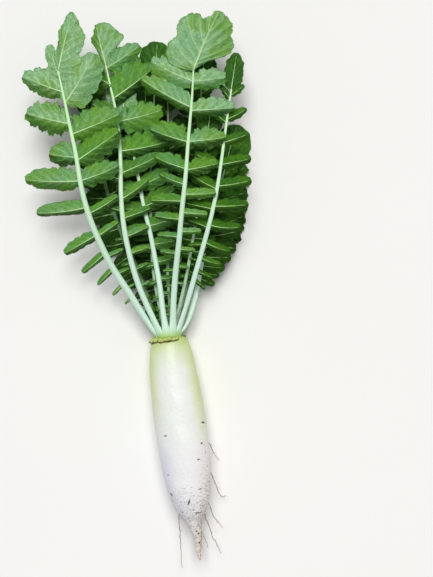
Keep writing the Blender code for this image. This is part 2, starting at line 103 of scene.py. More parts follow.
# A leaf stands on the crown at `around` degrees (0 is +X, 90 is up) on a ring of radius `ring`.
# Its rachis runs through the `route` points, (x, y) from the crown, and lies at `height` once it is
# `rise` away from the crown.  `stalk` is its radius at the crown, `left` and `right` scale its lower
# and upper leaflets, of which it has `pairs`, `breadth` is half their breadth as a share of their
# length, `terminal` is the length of its last leaflet, `fold` is how far the rear half of each leaflet
# hangs down, in degrees, and `face` is 1 where the underside faces up and -1 where the upper side does.
# No leaflet stands closer to the crown than `bare`.  `deep` and the number after it are painted shade on
# its blades, partly also the darker green of older leaves, and on its stalk; both grow towards the bottom
# of the bunch.  Its palest leaflets start at `pale`.
Leaf = namedtuple("Leaf", "name around ring route height rise stalk left right pairs breadth terminal "
                          "fold face bare deep dull pale", defaults=(.026, 0, 0, .56))
LEAVES = (
    Leaf("leaf_01", 172, OUTER,
         ((-.042, .061), (-.0685, .122), (-.086, .195), (-.0905, .27), (-.098, .382)),
         .084, .26, .0054, (1, 1), (.3, .92), 11, .3, .084, 50, 1),
    Leaf("leaf_02", 132, OUTER,
         ((-.031, .082), (-.04, .165), (-.031, .265), (-.029, .32), (-.0345, .385)),
         .062, .19, .0045, (.25, .35), (.45, .85), 11, .3, .059, 44, 1, .026, 0, 0, .66),
    Leaf("leaf_03", 150, INNER, ((-.009, .1), (0, .19), (.013, .275), (.028, .354)),
         .036, .17, .0025, (.5, .6), (.34, .42), 14, .4, .062, 12, -1, .026, 1.1, .7),
    Leaf("leaf_04", 98, OUTER, ((-.003, .095), (-.011, .215), (-.018, .315)),
         .047, .15, .0042, (.4, .5), (.5, .66), 12, .32, .06, 26, 1, .026, .5),
    Leaf("leaf_05", -60, INNER, ((.01, .085), (.021, .167), (.042, .325)),
         .028, .2, .0025, (.36, .6), (.3, .4), 14, .36, .052, 10, -1, .026, 1.5, .9),
    Leaf("leaf_06", 66, OUTER, ((.016, .06), (.044, .175), (.067, .275), (.084, .358)),
         .084, .22, .0046, (.8, .95), (.65, .78), 11, .3, .0905, 48, 1, .026, 0, 0, .62),
    Leaf("leaf_07", 10, INNER, ((.018, .06), (.04, .143), (.062, .209), (.092, .34)),
         .04, .17, .0025, (.34, .34), (.4, .6), 14, .36, .052, 12, -1, .05, 1.2, .8),
    Leaf("leaf_08", 75, INNER, ((.022, .045), (.044, .106), (.068, .185), (.092, .275)),
         .052, .16, .0025, (.3, .45), (.1, .5), 11, .34, .052, 18, -1, .08, .8, .6),
    Leaf("leaf_09", 33, OUTER, ((.047, .08), (.088, .177), (.118, .28), (.132, .328)),
         .068, .2, .0041, (.2, .6), (.6, .65), 11, .24, .052, 36, -1, .08),
    Leaf("leaf_10", 0, OUTER,
         ((.0235, .012), (.0335, .028), (.046, .058), (.074, .14), (.108, .222)),
         .028, .16, .0041, (.3, .42), (.34, .6), 11, .36, .055, 12, -1, .085, 1),
    Leaf("leaf_11", -148, OUTER, ((-.027, .08), (-.053, .18), (-.065, .265), (-.071, .342)),
         .018, .12, .004, (.62, .46), (.36, .76), 16, .48, .06, 8, -1, .026, 1.9, 1.7),
    Leaf("leaf_12", -114, OUTER, ((-.008, .09), (-.01, .19), (.002, .27), (.01, .33)),
         .009, .1, .0038, (.6, .75), (.5, .74), 17, .46, .055, 4, -1, .026, 2.4, 1.9),
    Leaf("leaf_13", -77, OUTER, ((.014, .09), (.036, .18), (.058, .255), (.074, .322)),
         .018, .12, .0038, (.36, .56), (.6, .65), 16, .46, .055, 8, -1, .05, 2.2, 1.9),
    Leaf("leaf_14", -36, OUTER, ((.04, .07), (.08, .145), (.115, .215), (.122, .24)),
         .008, .1, .0038, (.4, .55), (.3, .6), 14, .46, .05, 4, -1, .085, 1.7, 1.4),
    Leaf("young_leaf_1", -115, INNER, ((-.0035, .01), (-.005, .017)),
         .0275, .05, .0019, (0, 0), (0, 0), 0, .34, .011, 10, -1),
    Leaf("young_leaf_2", -165, INNER, ((-.0075, .01), (-.0095, .017)),
         .0315, .06, .0018, (0, 0), (0, 0), 0, .34, .01, 10, -1),
)

# The three leaves on top have leaflets of their own, left side first, from the tip of the leaf down:
# where each stands on the rachis, its length, its angle from the rachis in degrees, the breadths of its
# front half and of its rear half as seen from above, as shares of its length, and its painted shade,
# which makes it yellower and then darker, and paler where it is below 0.
OWN_LEAFLETS = {
    "leaf_01": (
        ((.98, .046, 12, .17, .21, -.4), (.925, .06, 63, .4, .22, 0), (.814, .061, 70, .39, .3, -.4),
         (.696, .036, 76, .55, .34, -.2), (.614, .075, 85, .26, .17, -.15), (.521, .068, 90, .21, .1, -.8),
         (.421, .05, 98, .22, .1, -.4), (.352, .04, 106, .17, .1, -.4), (.291, .03, 110, .17, .1, -.4),
         (.228, .02, 106, .18, .11, -.4), (.172, .012, 104, .2, .12, -.4)),
        ((.886, .078, 44, .22, .31, .1), (.776, .071, 80, .34, .24, 0), (.684, .07, 66, .25, .23, .55),
         (.614, .055, 83, .3, .2, 0), (.499, .046, 80, .17, .12, 0), (.417, .034, 83, .2, .11, 0),
         (.338, .024, 95, .2, .11, 0), (.27, .018, 96, .22, .12, 0), (.21, .012, 98, .22, .12, 0))),
    "leaf_02": (
        ((.93, .038, 48, .32, .28, 1.1), (.82, .038, 60, .32, .28, 1.1), (.7, .036, 68, .3, .26, 1.1),
         (.59, .032, 74, .26, .2, 1.1), (.48, .022, 80, .22, .14, 1.1), (.38, .014, 88, .22, .14, 1.1),
         (.29, .014, 94, .22, .14, 1.1)),
        ((.99, .055, 70, .27, .23, .1), (.88, .069, 67, .45, .15, .95), (.796, .062, 86, .32, .3, -.15),
         (.691, .068, 86, .33, .16, 0), (.613, .059, 70, .19, .15, .9), (.521, .044, 60, .19, .13, .1),
         (.452, .04, 76, .2, .12, .1), (.386, .034, 82, .2, .12, .1), (.325, .027, 86, .2, .12, .1),
         (.265, .02, 90, .2, .12, .1), (.205, .014, 94, .2, .12, .1))),
    "leaf_06": (
        ((.959, .063, 73, .28, .28, .1), (.862, .078, 71, .24, .09, .2), (.733, .055, 80, .36, .12, 0),
         (.633, .045, 82, .34, .14, 0), (.575, .036, 80, .2, .14, .1), (.512, .044, 92, .25, .1, .1),
         (.445, .036, 92, .22, .12, .1), (.38, .03, 94, .2, .12, .1), (.318, .024, 98, .2, .12, .1),
         (.255, .017, 102, .2, .12, .1), (.198, .012, 104, .2, .12, .1)),
        ((.958, .045, 82, .36, .28, -.2), (.85, .059, 83, .29, .12, -.2), (.734, .05, 80, .35, .2, -.5),
         (.629, .043, 77, .31, .2, -.2), (.538, .043, 86, .2, .14, -.2), (.47, .034, 88, .2, .13, -.2),
         (.4, .028, 90, .2, .13, -.2), (.335, .022, 94, .2, .13, -.2), (.27, .016, 98, .2, .13, -.2),
         (.208, .011, 104, .2, .13, -.2))),
}

# Their last leaflets have outlines of their own: how far each is turned to the right in degrees, how
# far its left and its right half hang, and each margin from the foot to the tip, along the midrib and
# away from it, as shares of the length.
Outline = namedtuple("Outline", "turn bend left_fold right_fold left right")
OWN_TERMINALS = {
    "leaf_01": Outline(
        22, -.04, 8, 12,
        ((0, .01), (.07, .05), (.16, .11), (.24, .13), (.35, .1), (.49, .1), (.63, .14), (.72, .11),
         (.85, .085), (.95, .07), (1, 0)),
        ((0, .01), (-.1, .05), (-.17, .12), (-.13, .2), (-.02, .26), (.1, .33), (.26, .33), (.36, .28),
         (.44, .3), (.6, .31), (.71, .28), (.82, .18), (.93, .1), (1, 0))),
    "leaf_02": Outline(
        -4, -.05, 52, 4,
        ((0, .01), (.15, .14), (.4, .2), (.52, .22), (.62, .36), (.72, .38), (.8, .22), (.92, .16),
         (1, 0)),
        ((0, .01), (.06, .15), (.24, .27), (.4, .4), (.52, .54), (.62, .58), (.72, .5), (.84, .4),
         (.95, .33), (1.02, .22), (1.03, .1), (1, 0))),
    "leaf_06": Outline(
        16, -.06, 4, 16,
        ((0, .01), (-.03, .12), (-.01, .36), (.09, .47), (.24, .5), (.34, .47), (.39, .42), (.47, .46),
         (.6, .49), (.72, .43), (.8, .33), (.82, .25), (.785, .17), (.86, .1), (.96, .06), (1, 0)),
        ((0, .01), (.08, .04), (.2, .13), (.31, .25), (.4, .36), (.5, .43), (.62, .44), (.69, .39),
         (.745, .33), (.84, .31), (.92, .26), (.98, .16), (1, 0))),
}

LONGEST_LEAFLET, LONGEST_AT = .074, .57        # metres, and where on the rachis it stands
FIRST_PAIR, LAST_PAIR = .1, .97                # where the pairs of leaflets start and end
PAIR_CROWDING = 1.3            # pairs stand closer together towards the crown
PAIR_OFFSET = .012             # the right leaflet of a pair stands this share further up
LOW_SLOPE = .2                 # the lowest leaflets slope down this steeply
ROLL = .6                      # how much of a half's fold comes between its midrib and its margin

# Old leaf bases hug the crown around these angles and span these, in degrees.
OLD_BASES = ((92, 74), (157, 70), (228, 70), (300, 72))

# Side roots: how far below the crown and at how many degrees from +X each leaves the taproot, its radius
# and the points that it passes through, (x, y) from the crown and z above the surface.
SIDE_ROOTS = (
    (.154, -8, .0007, ((.041, -.17, .022), (.047, -.182, .016))),
    (.196, -5, .0007, ((.037, -.215, .024), (.044, -.234, .017), (.049, -.233, .014))),
    (.236, 4, .0007, ((.03, -.26, .028), (.039, -.277, .02))),
    (.251, -12, .0008, ((.023, -.285, .024), (.032, -.313, .015))),
    (.247, 182, .0008, ((-.022, -.28, .028), (-.026, -.325, .019))),
    (.272, 15, .0006, ((.012, -.286, .037), (.015, -.299, .034))),
    (.215, -110, .0006, ((-.014, -.236, .006), (-.018, -.258, .004))),
)


# ---------------------------------------------------------------- small rules
def ease(x):
    """From 0 to 1 as x does, level at both ends."""
    x = np.clip(x, 0, 1)
    return x * x * (3 - 2 * x)


def bell(x, width):
    return np.exp(-(x / width) ** 2)


def unit(vectors):
    return vectors / np.maximum(np.linalg.norm(vectors, axis=-1, keepdims=True), 1e-12)


def spoke(degrees):
    """The direction out from the root's axis at that angle: 0 is +X and 90 is up."""
    around = radians(degrees)
    return np.array((cos(around), 0, sin(around)))


def turned_from(start, angles):
    """How far the angles are turned from the start, between minus and plus half a turn."""
    return (angles - start + pi) % (2 * pi) - pi


def stacked(*parts):
    """Vectors of the parts, which are broadcast to one shape."""
    return np.stack(np.broadcast_arrays(*parts), -1)


def walked_along(points):
    """How far along its line each point is."""
    return np.append(0, np.cumsum(np.linalg.norm(np.diff(points, axis=0), axis=1)))


def spaced(outline, rows):
    """The same outline as points at equal steps along it."""
    walked = walked_along(outline)
    steps = np.linspace(0, walked[-1], rows)
    return np.column_stack([np.interp(steps, walked, values) for values in outline.T])


def through(points, per_span):
    """Points on one smooth curve through the given ones, spaced by chord length (cubic Hermite)."""
    points = np.asarray(points, float)
    knots = walked_along(points)
    order = np.arange(len(points))
    before, after = np.maximum(order - 1, 0), np.minimum(order + 1, len(points) - 1)
    slopes = (points[after] - points[before]) / (knots[after] - knots[before])[:, None]
    t = (np.arange(1, per_span + 1) / per_span)[:, None]
    curve = [points[:1]]
    for i, span in enumerate(np.diff(knots)):
        curve.append(points[i] * (1 + 2 * t) * (1 - t) ** 2 + slopes[i] * span * t * (1 - t) ** 2
                     + points[i + 1] * t * t * (3 - 2 * t) + slopes[i + 1] * span * t * t * (t - 1))
    return np.concatenate(curve)


def waves(points, wavelength, seed, count=8):
    """Smooth irregular values, mostly between -1 and 1: sine waves in random directions, added."""
    rng = np.random.default_rng(seed)
    directions = unit(rng.normal(size=(count, 3))) / (wavelength * rng.uniform(.6, 1.6, (count, 1)))
    phases = rng.uniform(0, 2 * pi, count)
    return np.sin(2 * pi * points @ directions.T + phases).sum(-1) / sqrt(count)


def grid_faces(rows, columns, closed=False):
    """Quads of a grid of points, counted row by row; a closed grid joins its last column to its first."""
    i, j = np.meshgrid(np.arange(rows - 1), np.arange(columns if closed else columns - 1), indexing="ij")
    here, right = i * columns + j, i * columns + (j + 1) % columns
    return np.stack((here, right, right + columns, here + columns), -1).reshape(-1, 4)


def capped_faces(rows, columns):
    """Quads of a closed grid, and one face over each of its two open ends."""
    quads = grid_faces(rows, columns, closed=True).tolist()
    return quads + [list(range(columns))[::-1], [(rows - 1) * columns + i for i in range(columns)]]


class Shape:
    """Vertices, faces and painted values of one piece, gathered part by part."""

    def __init__(self):
        self.points, self.places, self.tints, self.faces, self.slots = [], [], [], [], []
        self.count = 0

    def add(self, points, faces, slot, place, tint=0):
        points = points.reshape(-1, 3)
        self.points.append(points)
        self.places.append(place.reshape(-1, 3))
        self.tints.append(np.zeros(len(points)) + np.ravel(tint))
        self.join(faces, slot, self.count)
        self.count += len(points)

    def join(self, faces, slot, first):
        """Faces between points, which are counted from the first one."""
        self.faces.extend(tuple(int(v) + first for v in face) for face in faces)
        self.slots.extend([slot] * len(faces))

    def piece(self, name, materials):
        points = np.concatenate(self.points)
        points[:, 2] = np.maximum(points[:, 2], FLOOR_GAP)
        mesh = bpy.data.meshes.new(name)
        mesh.from_pydata(points.tolist(), [], self.faces)
        for material in materials:
            mesh.materials.append(material)
        mesh.polygons.foreach_set("material_index", self.slots)
        place = mesh.attributes.new("place", "FLOAT_VECTOR", "POINT")
        place.data.foreach_set("vector", np.concatenate(self.places).astype(np.float32).ravel())
        tint = mesh.attributes.new("tint", "FLOAT", "POINT")
        tint.data.foreach_set("value", np.concatenate(self.tints).astype(np.float32))
        mesh.shade_smooth()
        mesh.validate()
        return placed(name, mesh)


def placed(name, data):
    made = bpy.data.objects.new(name, data)
    bpy.context.scene.collection.objects.link(made)
    return made


def add_tube(shape, centres, normals, widths, heights, sides, slot, profile=None, tint=0):
    """A closed tube along the centres.  Its section is `widths` to each side and `heights` along the
    normals; `profile` scales it round the section.  place = share along, share round, distance along."""
    along = unit(np.gradient(centres, axis=0))
    normals = unit(normals - along * (normals * along).sum(-1, keepdims=True))
    side = np.cross(along, normals)
    around = np.linspace(0, 2 * pi, sides, endpoint=False)
    scale = 1 if profile is None else profile(around)
    across, outward = np.cos(around) * scale * widths[:, None], np.sin(around) * scale * heights[:, None]
    ring = centres[:, None] + side[:, None] * across[..., None] + normals[:, None] * outward[..., None]
    walked = walked_along(centres)[:, None]
    place = stacked(walked / walked[-1], around / (2 * pi), walked)
    shape.add(ring, capped_faces(len(centres), sides), slot, place, tint)


# ---------------------------------------------------------------- materials
def srgb(colour):
    """Red, green and blue from 0 to 255, as the linear values that shaders take."""
    shares = [c / 255 for c in colour]
    return tuple(c / 12.92 if c <= .04045 else ((c + .055) / 1.055) ** 2.4 for c in shares) + (1,)


class Paint:
    """One procedural material, built a node at a time.  Its colours are sockets, or red, green and blue
    from 0 to 255, and each is laid over those before it."""

    def __init__(self, name, roughness, specular, colour):
        self.material = bpy.data.materials.new(name)
        self.material.use_nodes = True
        self.tree = self.material.node_tree
        self.shader = self.tree.nodes["Principled BSDF"]
        self.shader.inputs["Roughness"].default_value = roughness
        self.shader.inputs["Specular IOR Level"].default_value = specular
        self.colour = colour

    def node(self, kind, inputs, **settings):
        """The outputs of a new node."""
        made = self.tree.nodes.new("ShaderNode" + kind)
        for key, value in settings.items():
            setattr(made, key, value)
        for key, value in inputs.items():
            if isinstance(value, bpy.types.NodeSocket):
                self.tree.links.new(value, made.inputs[key])
            else:
                made.inputs[key].default_value = value
        return made.outputs

    def place(self):
        place = self.node("Attribute", {}, attribute_name="place")["Vector"]
        return self.node("SeparateXYZ", {0: place})

    def tint(self):
        return self.node("Attribute", {}, attribute_name="tint")["Fac"]

    def maths(self, operation, first, second=0):
        return self.node("Math", {0: first, 1: second}, operation=operation)[0]

    def times(self, first, second):
        return self.maths("MULTIPLY", first, second)

    def shifted(self, value, noise, most):
        """The value, moved either way by a noise."""
        return self.maths("ADD", value, self.times(self.maths("SUBTRACT", noise, .5), most))

    def off_line(self, count):
        """How far a running count is from a line, which stands halfway between whole numbers."""
        return self.maths("ABSOLUTE", self.maths("SUBTRACT", self.maths("FRACT", count), .5))

    def span(self, value, low, high, start=0, end=1):
        """`start` where the value is `low`, `end` where it is `high`, and smooth between them."""
        inputs = {"Value": value, "From Min": low, "From Max": high, "To Min": start, "To Max": end}
        return self.node("MapRange", inputs, interpolation_type="SMOOTHSTEP")["Result"]

    def noise(self, scale, detail=2, roughness=.5, stretch=(1, 1, 1)):
        inputs = {"Vector": self.where(stretch), "Scale": scale, "Detail": detail, "Roughness": roughness}
        return self.node("TexNoise", inputs)["Fac"]

    def fibres(self, across, along):
        """A noise drawn out along the root and the stalks."""
        return self.noise(1, 3, .6, (across, along, across))

    def cell_edges(self, scale):
        inputs = {"Vector": self.where((1, 1, 1)), "Scale": scale}
        return self.node("TexVoronoi", inputs, feature="DISTANCE_TO_EDGE")["Distance"]

    def where(self, stretch):
        """The object's own coordinates, stretched."""
        inputs = {"Vector": self.node("TexCoord", {})["Object"], "Scale": stretch}
        return self.node("Mapping", inputs)["Vector"]

    def mix(self, share, first, second):
        first, second = (srgb(c) if isinstance(c, tuple) else c for c in (first, second))
        return self.node("Mix", {0: share, 6: first, 7: second}, data_type="RGBA")[2]

    def lay(self, colour, share):
        """Lays a share of the colour over what is there."""
        self.colour = self.mix(share, self.colour, colour)

    def wash(self, colour, value, low, high, share=1):
        """Lays none of the colour where the value is `low` and a share of it where the value is `high`."""
        self.lay(colour, self.span(value, low, high, 0, share))

    def glow(self, colour, share):
        """Lets a share of the light through in that colour."""
        through_it = self.node("BsdfTranslucent", {"Color": srgb(colour)})["BSDF"]
        mixed = self.node("MixShader", {0: share, 1: self.shader.outputs["BSDF"], 2: through_it})["Shader"]
        self.tree.links.new(mixed, self.tree.nodes["Material Output"].inputs["Surface"])

    def finish(self, height=None, depth=0):
        """The material, with a bump of `depth` metres."""
        if height is not None:
            bump = self.node("Bump", {"Height": height, "Distance": depth, "Strength": 1})["Normal"]
            self.tree.links.new(bump, self.shader.inputs["Normal"])
        self.tree.links.new(self.colour, self.shader.inputs["Base Color"])
        return self.material


def blade_material(name, lit, deep, yellow, lime, cool, dark, vein):
    """A leaf blade: place = (side vein count, share across, share along the leaf).  A tint from 0 to 1
    makes it paler and yellower, and a higher one darker, which is painted shade."""
    paint = Paint(name, .6, .18, deep)
    count, across = paint.place()[:2]
    tint = paint.tint()
    reach = paint.maths("ABSOLUTE", across)
    mottle, grain, patch = paint.noise(90, 3, .6), paint.noise(330, 3, .65), paint.noise(30)
    paint.wash(lit, mottle, .35, .68)
    # painted shade from the tint: a yellower green up to 1
    paint.wash(yellow, tint, 0, 1, .9)
    paint.wash(lime, patch, .5, .6, .85)
    paint.wash(cool, patch, .47, .38, .4)
    # painted shade from the tint: darker above 1, darkest above 2
    paint.wash(dark, tint, .9, 2.3, .8)
    paint.wash((10, 34, 6), tint, 1.9, 3, .8)
    paint.wash(dark, grain, .6, .38, .3)
    vein = paint.mix(paint.span(tint, 0, 1.2, 0, .8), vein, yellow)
    # the net between the veins
    net = paint.span(paint.cell_edges(420), .02, .16, 1, 0)
    coarse_net = paint.span(paint.cell_edges(190), 0, .07, 1, 0)
    paint.lay(vein, paint.times(net, .28))
    paint.lay(vein, paint.times(coarse_net, .46))
    # side veins, fine towards the margin and a little crooked
    count = paint.shifted(count, paint.noise(140), paint.times(reach, .45))
    off_vein = paint.off_line(count)
    width = paint.span(reach, 0, 1, .06, .018)
    side_vein = paint.span(paint.maths("DIVIDE", off_vein, width), .45, 1.2, 1, 0)
    side_vein = paint.times(side_vein, paint.span(reach, .45, 1, .8, .25))
    # painted shade: the blade is darker halfway between two side veins, where it swells,
    # and each side vein stands in a paler band
    paint.wash(dark, off_vein, .16, .48, .15)
    band = paint.times(paint.span(off_vein, .03, .2, .26, 0), paint.span(reach, .3, 1, 1, .45))
    paint.lay(vein, band)
    # three fine veins to each side vein, and the midrib
    fine_vein = paint.span(paint.off_line(paint.times(count, 3)), .05, .2, 1, 0)
    fine_vein = paint.times(fine_vein, paint.span(reach, .2, .95, .06, .2))
    midrib = paint.span(reach, .01, .08, .55, 0)
    veins = paint.maths("MAXIMUM", paint.maths("MAXIMUM", side_vein, midrib), fine_vein)
    paint.lay(vein, veins)
    paint.wash(yellow, reach, .92, 1, .4)
    paint.glow((150, 190, 50), .15)
    height = paint.maths("ADD", paint.times(net, .5), paint.maths("ADD", coarse_net, veins))
    return paint.finish(paint.maths("ADD", height, paint.times(grain, 1.2)), .0005)


def stalk_material():
    """Leaf stalks: place = (share along, share round, metres from the crown), and the tint is painted
    shade, which makes the stalks low in the bunch darker."""
    paint = Paint("stalk", .42, .4, (212, 242, 226))
    distance, dull = paint.place()[2], paint.tint()
    paint.wash((208, 248, 192), distance, .08, .36)
    paint.wash((150, 190, 62), distance, .018, .002)
    stripe = paint.fibres(1400, 22)
    paint.wash((178, 218, 184), stripe, .42, .7, .35)
    paint.wash((204, 234, 178), paint.noise(30), .45, .75, .2)
    # painted shade on the stalks low in the bunch, darker as the tint grows
    paint.wash((122, 170, 104), dull, 0, 1, .85)
    paint.wash((62, 112, 48), dull, 1, 2, .8)
    return paint.finish(stripe, .0002)


def midrib_material():
    """The midribs of leaflets, greener towards their tips."""
    paint = Paint("midrib", .5, .3, (206, 240, 178))
    paint.wash((172, 216, 140), paint.place()[0], 0, .9)
    fibres = paint.noise(900)
    paint.wash((146, 190, 118), fibres, .4, .7, .3)
    return paint.finish(fibres, .0001)


def root_material():
    """The taproot's skin: place = (share from crown to tail, half turns from the top, mark), and the
    tint runs from -1 on the left side to 1 on the right one."""
    paint = Paint("root_skin", .4, .42, (238, 242, 238))
    down, off_top, mark = paint.place()[:3]
    side = paint.tint()
    clouds = paint.noise(26, 3, .55)
    paint.wash((231, 237, 231), clouds, .35, .7)
    # the shoulder is green, most of all at its rim, and its sides are painted greener, which is painted
    # shade
    level = paint.shifted(down, clouds, .1)
    paint.wash((192, 212, 138), level, .16, .01, .75)
    lower_end = paint.span(side, -.3, .6, .42, .56)
    green = paint.times(paint.maths("SUBTRACT", 1, paint.maths("DIVIDE", level, lower_end)), 1.6)
    green = paint.maths("MINIMUM", paint.maths("MAXIMUM", green, 0), .84)
    paint.lay((212, 224, 148), paint.times(paint.span(off_top, .13, .4), green))
    paint.wash((176, 200, 108), level, .05, 0, .8)
    # the lower half is painted lilac on the left and pinkish brown on the right, which is painted cool
    # and warm light from the two sides, and the tail is greyer
    low = paint.span(level, .36, .6)
    paint.lay((243, 241, 247), paint.times(low, .75))
    for way, colour in ((-1, (220, 222, 236)), (1, (239, 227, 228))):
        paint.lay(colour, paint.times(low, paint.span(side, .35 * way, .95 * way, 0, .8)))
    paint.wash((220, 212, 202), level, .78, .9, .85)
    # soil left in the skin, most of all low on the right
    soil_level = paint.span(down, .38, .88, .69, .51)
    soil_level = paint.maths("SUBTRACT", soil_level, paint.span(side, .2, .95, 0, .07))
    soil = paint.maths("SUBTRACT", paint.noise(420, 4, .7), soil_level)
    paint.wash((128, 108, 92), soil, 0, .07, .62)
    streaks = paint.noise(1, 4, .65, (160, 700, 160))
    paint.wash((164, 160, 150), streaks, .55, .75, .14)
    paint.wash((66, 48, 34), mark, .12, .7, .95)
    return paint.finish(paint.maths("ADD", paint.times(streaks, .5), paint.noise(700)), .00014)


def scale_material():
    """Bases of shed leaves: place = (share round, share from root to rim, 0)."""
    paint = Paint("old_leaf_base", .55, .3, (168, 192, 108))
    fibres = paint.fibres(900, 60)
    paint.wash((196, 208, 132), fibres, .4, .7)
    ragged = paint.shifted(paint.place()[1], fibres, .3)
    paint.wash((104, 82, 36), ragged, .5, .24, .95)
    paint.wash((156, 140, 78), ragged, .8, 1.05, .7)
    return paint.finish(fibres, .0003)


def rootlet_material():
    """Thin side roots, off-white with soil on them."""
    paint = Paint("rootlet", .75, .2, (186, 180, 172))
    soil = paint.noise(500, 3, .6)
    paint.wash((126, 118, 108), soil, .42, .66)
    return paint.finish(soil, .0002)


def bud_material():
    """The heart bud, pale and fibrous."""
    paint = Paint("heart_green", .5, .35, (170, 200, 96))
    fibres = paint.fibres(1200, 50)
    paint.wash((200, 220, 130), fibres, .4, .65)
    return paint.finish(fibres, .0002)


def floor_material():
    paint = Paint("floor", .7, .1, (241, 241, 240))
    paint.lay((243, 243, 242), paint.noise(3))
    return paint.finish()


# ---------------------------------------------------------------- leaves
class Rachis:
    """The centre line of a leaf's stalk, from the crown to its last leaflet."""

    def __init__(self, leaf):
        foot = CROWN + leaf.ring * spoke(leaf.around)
        plan = np.vstack(((foot[0], FOOT_GAP), through(((foot[0], FOOT_LENGTH),) + leaf.route, 30)))
        self.distances = walked_along(plan)
        self.length = self.distances[-1]
        heights = foot[2] + (leaf.height - foot[2]) * ease(self.distances / leaf.rise)
        self.points = np.column_stack((plan[:, 0], CROWN[1] + plan[:, 1], heights))

    def point(self, shares):
        distance = np.asarray(shares) * self.length
        return np.stack([np.interp(distance, self.distances, values) for values in self.points.T], -1)

    def at(self, share, degrees, way):
        """The point at a share of the length, and three level directions there: square to the rachis,
        to its right where `way` is 1, at the angle to it, and square to that one."""
        step = .004
        x, y, _ = unit(self.point(min(share + step, 1)) - self.point(max(share - step, 0)))
        ahead, angle = unit(np.array((x, y, 0))), radians(degrees)
        across = np.array((ahead[1], -ahead[0], 0)) * way
        outward, forward = ahead * cos(angle) + across * sin(angle), ahead * sin(angle) - across * cos(angle)
        return self.point(share), across, outward, forward


def stalk_radius(leaf, share):
    flare = .1 * leaf.stalk * (1 - ease(share / .05))
    return flare + STALK_TIP_RADIUS + (.9 * leaf.stalk - STALK_TIP_RADIUS) * (1 - share ** 1.6)


def leaflet_length(share):
    """Leaflets are longest a little past the middle of the rachis."""
    if share < LONGEST_AT:
        return LONGEST_LEAFLET * (.24 + .76 * ease((share - .06) / (LONGEST_AT - .06)))
    return LONGEST_LEAFLET * (1 - .5 * ((share - LONGEST_AT) / (LAST_PAIR - LONGEST_AT)) ** 1.3)


def leaflets_of(leaf, rachis_length, side):
    """The leaflets of one side of a leaf, 0 for the left one: where each stands on the rachis, its
    length, its angle from the rachis in degrees, the breadths of its front and its rear half as shares
    of its length, how far the rear half hangs, in radians, and how much painted shade it gets."""
    if leaf.name in OWN_LEAFLETS:
        for share, length, angle, front, shown, deep in OWN_LEAFLETS[leaf.name][side]:
            rear = max(.9 * front, 1.1 * shown)
            yield share, length, angle, front, rear, acos(shown / rear), deep
        return
    low_scale, high_scale = (leaf.left, leaf.right)[side]
    first = max(FIRST_PAIR, leaf.bare / rachis_length)
    for pair in range(leaf.pairs):
        rank = (pair / (leaf.pairs - 1)) ** PAIR_CROWDING
        share = first + (LAST_PAIR - first) * rank + PAIR_OFFSET * (side - .5)
        scale = low_scale + (high_scale - low_scale) * ease((share - .2) / .4)
        front = leaf.breadth * (.68 + .32 * ease((share - .15) / .6))
        angle = 106 - 60 * share ** 1.6
        yield share, leaflet_length(share) * scale, angle, front, .9 * front, radians(leaf.fold), leaf.deep


def stalk_section(around):
    """Round and ribbed on the outer side, with a groove on the inner side."""
    groove = .24 * bell(np.abs(around - 1.5 * pi), .55)
    return 1 - groove + .022 * np.cos(7 * around)


def add_stalk(shape, leaf, rachis):
    """The stalk widens to a clasping base that is sunk in the crown."""
    shares = np.concatenate((np.linspace(0, .08, 14)[:-1], np.linspace(.08, 1, 70)))
    centres, outward = rachis.point(shares), spoke(leaf.around)
    turned = ease(shares / .3)[:, None]
    normals = outward * (1 - turned) + UP * leaf.face * turned
    sunk = centres[0] - outward * .001 - (0, .003, 0)
    centres, normals = np.vstack((sunk, centres)), np.vstack((outward, normals))
    radii = stalk_radius(leaf, shares)
    radii = np.append(radii[0], radii)
    base = np.append(1, 1 - ease(shares * rachis.length / CLASP_LENGTH))
    wobble = .0004 * (1 - base) * waves(centres, .09, leaf.around + 400)
    centres += wobble[:, None] * (1, 0, .5)
    add_tube(shape, centres, normals, radii * (1.04 + .42 * base), radii * (.94 - .26 * base), 28, 0,
             stalk_section, leaf.dull)


def notched(outline, beats, depth, teeth, seed):
    """A margin with a lobe for each beat and finer teeth, pushed out and in across the outline."""
    t = np.linspace(0, 1, len(outline))
    along = unit(np.gradient(outline, axis=0))
    outward = np.column_stack((-along[:, 1], along[:, 0]))
    beat = t * beats
    uneven = 1 + .6 * np.clip(waves(stacked(beat, 0, 0), 2.1, seed), -.8, .8)
    lobe = np.sin(pi * (beat % 1) ** 1.5) ** .7 - .6
    tooth = np.sin(pi * ((2.6 * beat + .1 * seed) % 1) ** 1.4) ** .8 - .55
    push = uneven * (depth * lobe + teeth * tooth) * ease(t / .1) * ease((1 - t) / .05)
    margin = outline + outward * push[:, None]
    margin[:, 1] = np.maximum(margin[:, 1], NARROWEST)
    return margin


def plain_margin(half, rise, blunt):
    """A leaflet's margin: full from close to its foot, with a rounded end."""
    x = 1 - (1 - np.linspace(0, 1, 200)) ** 1.7
    rising = np.sqrt(1 - (1 - np.clip(x / rise, 0, 1)) ** 2)
    falling = (1 - np.clip((x - .45) / .55, 0, 1) ** blunt) ** (1 / blunt)
    return np.column_stack((x, half * rising * falling))


# How a blade lies: it starts at `start` and runs `length` along `outward`, bends towards `forward`,
# droops and twists, and its halves hang by their folds.  `fan` gathers its veins towards its foot,
# its margin is ruffled, and the blade swells by `quilt` between the veins.
Blade = namedtuple("Blade", "start outward forward length bend droop twist front_fold rear_fold "
                            "fan veins ruffle quilt")


